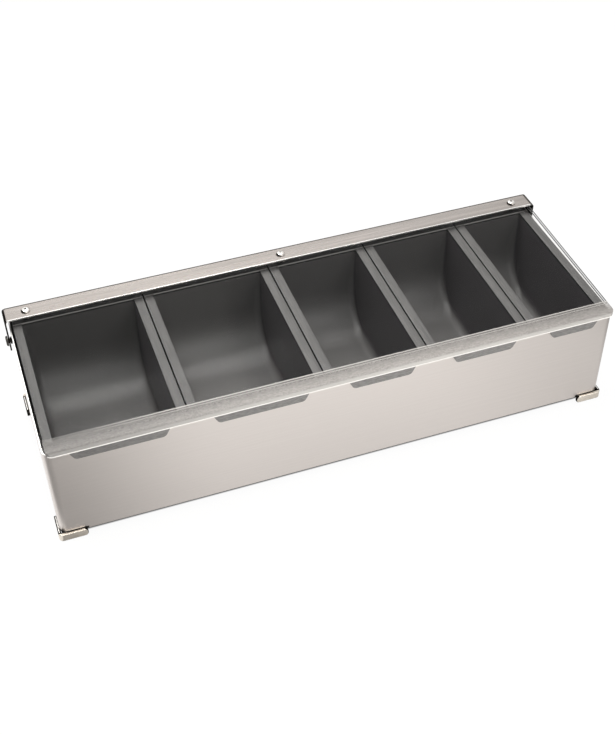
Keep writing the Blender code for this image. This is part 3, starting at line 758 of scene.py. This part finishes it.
def makeFoot(nodeName, pieceName, v):
    # a strip of sheet bent round the tray's corner, with rounded ends and rolled edges
    low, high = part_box(nodeName)
    signX = 1 if low.x + high.x > 0 else -1
    signY = 1 if low.y + high.y > 0 else -1
    outX = (high.x if signX > 0 else low.x) + signX * v["growSide"][signY]
    outY = (high.y if signY > 0 else low.y) + signY * v["grow"]
    inX = low.x if signX > 0 else high.x
    inY = low.y if signY > 0 else high.y
    bm = bmesh.new()
    path = [bm.verts.new(spot) for spot in ((outX, inY, low.z), (outX, outY, low.z), (inX, outY, low.z))]
    wires = [bm.edges.new(path[:2]), bm.edges.new(path[1:])]
    raised = bmesh.ops.extrude_edge_only(bm, edges=wires)["geom"]
    bmesh.ops.translate(bm, vec=(0, 0, high.z - low.z), verts=onlyVerts(raised))
    fold = [e for e in bm.edges if all(abs(p.co.x - outX) + abs(p.co.y - outY) < 0.01 * mm for p in e.verts)]
    bmesh.ops.bevel(bm, geom=fold, offset=v["bend"], segments=8, profile=0.5, affect="EDGES", material=-1)
    tips = [p for p in bm.verts if abs(p.co.x - inX) < 0.01 * mm or abs(p.co.y - inY) < 0.01 * mm]
    bmesh.ops.bevel(bm, geom=tips, offset=v["endRadius"], segments=6, profile=0.5, affect="VERTICES", material=-1)
    bmesh.ops.recalc_face_normals(bm, faces=bm.faces)
    front = max(bm.faces, key=lambda f: abs(f.normal.y) * f.calc_area())
    if front.normal.y * signY < 0:
        bmesh.ops.reverse_faces(bm, faces=bm.faces)
    piece = newPiece(pieceName, bm, steelOfFeet)
    wall = piece.modifiers.new("sheetWall", "SOLIDIFY")
    wall.thickness = v["thick"]
    wall.offset = -1.0
    wall.use_even_offset = True
    addBevel(piece, "rolledEdges", v["edge"], 4, 50)
    smoothBends(piece, 50)
    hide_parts(nodeName)
    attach(piece, "tray")


for place in ("front_left", "front_right", "rear_left", "rear_right"):
    makeFoot(f"foot_{place}", f"cornerFoot_{place}", footValues)
for side in ("left", "right"):
    softCopy(f"pivot_pin_{side}", f"pivotPin_{side}", steelOfPins, "bright_steel", softEdges["pins"], 2)
    softCopy(f"pin_spacer_{side}", f"pinSpacer_{side}", steelOfSpacers, "dark_metal", softEdges["pins"], 2)
for where in ("left", "middle", "right"):
    finish = (steelOfRivets, "bright_steel", softEdges["rivets"], 2, "lid")
    softCopy(f"lid_rivet_{where}", f"domedRivet_{where}", *finish)
    softCopy(f"rivet_washer_{where}", f"rivetWasher_{where}", *finish)
print("steel pieces made")


# bins: a flange round a scooped hollow, with a finger tab in front

binValues = {
    "gap": 1.0 * mm,
    "flangeSide": 7.4 * mm,
    "flangeFront": 10.0 * mm,
    "flangeRear": 11.8 * mm,
    "flangeThick": 1.8 * mm,
    "flangeCorner": 1.5 * mm,
    "rimSoftness": 0.35 * mm,
    "mouthSoftness": 0.5 * mm,
    "wall": 2.0 * mm,
    "depth": 73.8 * mm,
    "scoop": 38.5 * mm,
    "frontRadius": 10.0 * mm,
    "sideRadius": 8.0 * mm,
    "topCorner": 2.2 * mm,
    "lowCorner": 7.0 * mm,
    "draft": 1.5 * mm,
    "seat": 0.3 * mm,
    "tabThick": 1.3 * mm,
    "tabDrop": 10.1 * mm,
    "tabSlant": 4.6 * mm,
    "tabCorner": 2.2 * mm,
    "tabTail": 3.0 * mm,
    "leftInset": 0.4 * mm,
    "tabInsets": {1: 15.6 * mm, 2: 15.6 * mm, 3: 14.6 * mm, 4: 14.6 * mm, 5: 12.7 * mm},
    "cornerSteps": 7,
    "scoopSteps": 22,
}


def roundedOutline(wide, front, rear, radius, height, middle, steps):
    corners = (
        (wide - radius, rear - radius, 0), (-wide + radius, rear - radius, 90),
        (-wide + radius, front + radius, 180), (wide - radius, front + radius, 270),
    )
    ring = []
    for x, y, start in corners:
        for step in range(steps + 1):
            angle = math.radians(start + 90 * step / steps)
            ring.append((middle + x + radius * math.cos(angle), y + radius * math.sin(angle), height))
    return ring


def hollowOutline(v, half, front, rear, top, offset, height, middle):
    # the hollow's plan at one height, pushed outwards by offset; reach is how far a lower rounding still goes there
    floor = top - v["depth"]
    reach = lambda radius: math.sqrt(max((radius + offset) ** 2 - max(0.0, floor + radius - height) ** 2, 0.0))
    back = rear - v["scoop"] + reach(v["scoop"])
    ahead = front + v["frontRadius"] - reach(v["frontRadius"])
    wide = half - v["draft"] * max(top - height, 0.0) / v["depth"] - v["sideRadius"] + reach(v["sideRadius"])
    share = min(max((top - height) / (v["depth"] - v["scoop"]), 0.0), 1.0)
    radius = v["topCorner"] + share * (v["lowCorner"] - v["topCorner"]) + offset
    return roundedOutline(wide, ahead, back, radius, height, middle, v["cornerSteps"])


def addRing(bm, outline):
    points = [bm.verts.new(place) for place in outline]
    return [bm.edges.new((points[i - 1], points[i])) for i in range(len(points))]


def binRings(v, half, outer, front, rear, low, high, top, middle, flangeMiddle):
    # closed outlines from the hollow's floor up over the flange and down the outside
    def hollow(height, offset=0.0, wider=0.0):
        return hollowOutline(v, half + wider, front - wider, rear + wider, top, offset, height, middle)

    def flangeRing(height, inset=0.0):
        return roundedOutline(
            outer - inset, low + inset, high - inset, v["flangeCorner"], height, flangeMiddle, v["cornerSteps"]
        )

    soft, rim, wall = v["mouthSoftness"], v["rimSoftness"], v["wall"]
    under = top - v["flangeThick"]
    scoopTop = top - v["depth"] + v["scoop"]
    angles = [math.radians(90 * s / v["scoopSteps"]) for s in range(v["scoopSteps"] + 1)]
    inside = [hollow(scoopTop - v["scoop"] * math.sin(a)) for a in reversed(angles)]
    inside += [hollow(scoopTop + share * (top - soft - scoopTop)) for share in (0.5, 0.8)]
    turns = [math.radians(degrees) for degrees in (0, 30, 60, 90)]
    mouth = [hollow(top - soft + soft * math.sin(a), wider=soft * (1 - math.cos(a))) for a in turns]
    flange = [flangeRing(top - rim + rim * math.sin(a), rim * (1 - math.cos(a))) for a in reversed(turns)]
    flange.append(flangeRing(under))
    outside = [hollow(under, wall)]
    outside += [hollow(scoopTop - (v["scoop"] + wall) * math.sin(a), wall) for a in angles[::2]]
    return inside + mouth + flange + outside


def binTab(v, half, middle, top, face):
    # a plate with a slanting front view, bent over the tray's rim by a spin and run into the flange
    thick = v["tabThick"]
    bend = top - 0.02 * mm - thick
    low = top - v["tabDrop"]
    bm = bmesh.new()
    outline = [(-half, bend), (-half + v["tabSlant"], low), (half - v["tabSlant"], low), (half, bend)]
    bm.faces.new([bm.verts.new((middle + x, face, z)) for x, z in outline])
    tips = [p for p in bm.verts if p.co.z < low + thick]
    bmesh.ops.bevel(bm, geom=tips, offset=v["tabCorner"], segments=6, profile=0.5, affect="VERTICES", material=-1)
    bmesh.ops.solidify(bm, geom=list(bm.faces), thickness=-thick)
    for p in bm.verts:  # solidify may grow either way, so the plate is put back behind its face
        p.co.y = face if abs(p.co.y - face) < thick / 2 else face + thick
    bmesh.ops.recalc_face_normals(bm, faces=bm.faces)
    lip = [f for f in bm.faces if f.normal.z > 0.9 and f.calc_center_median().z > bend - thick / 2]
    spun = bmesh.ops.spin(
        bm, geom=lip, cent=(middle, face + thick, bend), axis=(1, 0, 0), angle=-math.pi / 2, steps=6,
        use_duplicate=False
    )
    last = onlyVerts(spun["geom_last"])
    endFace = [f for f in bm.faces if all(p in last for p in f.verts)]
    pushed = bmesh.ops.extrude_face_region(bm, geom=endFace)["geom"]
    bmesh.ops.translate(bm, vec=(0, v["tabTail"], 0), verts=onlyVerts(pushed))
    bmesh.ops.delete(bm, geom=endFace + lip, context="FACES_ONLY")
    bmesh.ops.remove_doubles(bm, verts=bm.verts, dist=0.003 * mm)
    bmesh.ops.recalc_face_normals(bm, faces=bm.faces)
    return bm


def combine(piece, other, operation):
    # a boolean, first in the piece's stack; all its modifiers are then applied, and the other piece goes
    modifier = piece.modifiers.new("combine", "BOOLEAN")
    modifier.operation = operation
    modifier.solver = "EXACT"
    modifier.object = other
    piece.modifiers.move(len(piece.modifiers) - 1, 0)
    graph = bpy.context.evaluated_depsgraph_get()
    done = bpy.data.meshes.new_from_object(piece.evaluated_get(graph))
    old = piece.data
    piece.modifiers.clear()
    piece.data = done
    done.name = piece.name
    bpy.data.meshes.remove(old)
    bpy.data.objects.remove(other, do_unlink=True)


def makeBin(number, v):
    low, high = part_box(f"insert_{number}")
    middle = (low.x + high.x) / 2
    outer = (high.x - low.x) / 2
    face = low.y
    flangeLow = face + v["tabThick"] + 2 * v["seat"]
    trayFront = flangeLow - v["seat"]
    front = trayFront + v["flangeFront"]
    rear = high.y + v["seat"] - v["flangeRear"]
    inset = v["leftInset"] if number == 1 else 0.0
    rings = binRings(
        v, outer - v["flangeSide"], outer - inset / 2, front, rear, flangeLow, high.y, high.z,
        middle, middle + inset / 2,
    )
    bm = bmesh.new()
    loops = [addRing(bm, ring) for ring in rings]
    # level steps are bridged first: with faces already beside them they would be joined askew
    steps = sorted(range(len(rings) - 1), key=lambda k: abs(rings[k][0][2] - rings[k + 1][0][2]) > 0.01 * mm)
    for k in steps:
        bmesh.ops.bridge_loops(bm, edges=loops[k] + loops[k + 1])
    bmesh.ops.holes_fill(bm, edges=loops[0] + loops[-1], sides=0)
    bmesh.ops.recalc_face_normals(bm, faces=bm.faces)
    piece = newPiece(f"scoopedBin_{number}", bm, plasticOfBins)
    halfTab = outer + v["gap"] / 2 - v["tabInsets"][number]
    tab = newPiece(f"binTab_{number}", binTab(v, halfTab, middle, high.z, face), plasticOfBins)
    combine(piece, tab, "UNION")
    smoothBends(piece, 40)
    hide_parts(f"insert_{number}")
    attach(piece, f"bin_{number}")


for number in range(1, 6):
    makeBin(number, binValues)
print("bins made")


# lid: one clear sheet with a satin front margin and a lip

lidValues = {
    "clearAlpha": 0.03,
    "clearColour": (0.05, 0.052, 0.052),
    "clearRoughness": 0.06,
    "satinRoughness": 0.42,
    # cut edges; four numbers are where a change along X starts and ends, and its value there
    "edgeAlpha": 0.90,
    "edgeColour": (0.045, 0.045, 0.044),
    "edgeWidth": 1.20 * mm,
    "sideShare": 0.14,
    # front margin and lip
    "marginDepth": 15.4 * mm,
    "frostInset": 0.9 * mm,
    "satinColour": (0.338, 0.320, 0.305),
    "satinShares": (0.72, 1.22),
    "satinAlpha": (0.40, 0.92),
    "marginShade": ((-0.23, -0.04, 0.54, 0.90), (-0.02, 0.06, 0.0, 0.10), (0.10, 0.22, 0.0, 0.12)),
    "brinkWidth": 1.4 * mm,
    "brinkLight": (-0.22, -0.12, 0.15, 1.0),
    "brinkShare": 0.75,
    "brinkAlpha": 0.40,
    "lipColour": (0.52, 0.505, 0.485),
    "lipFace": (0.3 * mm, 1.6 * mm),
    "lipEdge": (0.7 * mm, 1.4 * mm),
    "lipEdgeColour": (0.77, 0.75, 0.73),
    "lipEdgeAlpha": 0.08,
    "grainDepth": 0.02 * mm,
    "cornerRadius": 6.4 * mm,
}


def clearSheet(name, v):
    surface = Surface(name, IOR=1.49)
    x, y, z = surface.x, surface.y, surface.z
    front, low = lidBox[0].y, lidBox[0].z
    marginEnd, frostFrom = front + v["marginDepth"], lidBox[0].x + v["frostInset"]
    margin = y.fall(marginEnd - 0.25 * mm, marginEnd + 0.25 * mm) * x.ramp(frostFrom - 0.2 * mm, frostFrom + 0.2 * mm)
    faceX, faceZ = surface.facing("XZ")
    # the cut edge looks dark at the right and the rear, and pale at the left
    right = x.ramp(lidBox[1].x - v["edgeWidth"], lidBox[1].x - 0.8 * v["edgeWidth"])
    rear = y.ramp(lidBox[1].y - v["edgeWidth"], lidBox[1].y - 0.8 * v["edgeWidth"])
    edge = right.larger(rear) * faceZ.ramp(0.15, 0.45)
    side = faceX.size().ramp(0.6, 0.9)
    # satin: fine streaks and speckles
    streaks = surface.noise((160.0, 1200.0, 1200.0), 3.0, 0.6).ramp(0.32, 0.68)
    speckle = surface.noise((700.0, 900.0, 900.0), 2.0, 0.6, (3.0, 6.0, 2.0)).ramp(0.32, 0.68)
    dull, light = (tuple(share * c for c in v["satinColour"]) for share in v["satinShares"])
    satin = surface.mixColour(streaks * 0.45 + speckle * 0.55, dull, light)
    # painted light: the lip's face is painted paler than the margin
    satin = surface.mixColour(y.fall(*(front + depth for depth in v["lipFace"])), satin, v["lipColour"])
    # painted shade: the margin is painted darker towards the ends
    left, middle, rightEnd = (x.ramp(*span) for span in v["marginShade"])
    satin = surface.dimmed(left + middle - rightEnd, satin)
    # painted highlights: the margin's rear brink and the lip's lower edge are paler
    brinkAt = marginEnd - v["brinkWidth"]
    brink = y.ramp(brinkAt, brinkAt + 0.4 * mm) * margin * x.ramp(*v["brinkLight"])
    lipEdge = z.fall(*(low + height for height in v["lipEdge"]))
    satin = surface.mixColour(brink * v["brinkShare"], satin, v["lipColour"])
    satin = surface.mixColour(lipEdge, satin, v["lipEdgeColour"])
    slope = y.fall(front, marginEnd)
    satinAlpha = slope * (v["satinAlpha"][1] - v["satinAlpha"][0]) + v["satinAlpha"][0]
    satinAlpha = satinAlpha + lipEdge * v["lipEdgeAlpha"] + brink * v["brinkAlpha"]
    clear = surface.mixColour(edge, v["clearColour"], v["edgeColour"])
    edge = edge.larger(side * v["sideShare"])
    clearAlpha = edge * (v["edgeAlpha"] - v["clearAlpha"]) + v["clearAlpha"]
    grain = surface.noise((2400.0, 2400.0, 2400.0), 2.0)
    surface.feed(
        Base_Color=surface.mixColour(margin, clear, satin),
        Alpha=margin * (satinAlpha - clearAlpha) + clearAlpha,
        Roughness=margin * v["satinRoughness"] + v["clearRoughness"],
        Normal=surface.bump(grain * margin, v["grainDepth"], 0.5),
    )
    return surface.material


def roundFrontCorners(piece, v):
    # the lid's front corners follow those of the tray
    slack, depth = 0.05 * mm, 30 * mm
    outline = roundedOutline(
        lidBox[1].x + slack, lidBox[0].y - slack, lidBox[1].y + depth, v["cornerRadius"], lidBox[0].z - depth, 0.0, 10
    )
    bm = bmesh.new()
    addRing(bm, outline)
    base = bmesh.ops.holes_fill(bm, edges=list(bm.edges), sides=0)["faces"]
    raised = bmesh.ops.extrude_face_region(bm, geom=base)["geom"]
    bmesh.ops.translate(bm, vec=(0, 0, 4 * depth), verts=onlyVerts(raised))
    bmesh.ops.recalc_face_normals(bm, faces=bm.faces)
    plan = newPiece("lidPlan", bm, piece.data.materials[0])
    combine(piece, plan, "INTERSECT")
    smoothBends(piece, 35)


lidSheet = clearSheet("lidClearSheet", lidValues)
clearLid = softCopy("lid_panel", "clearLid", lidSheet, "clear_plastic", softEdges["lid"], 3, "lid")
roundFrontCorners(clearLid, lidValues)
print("lid made")
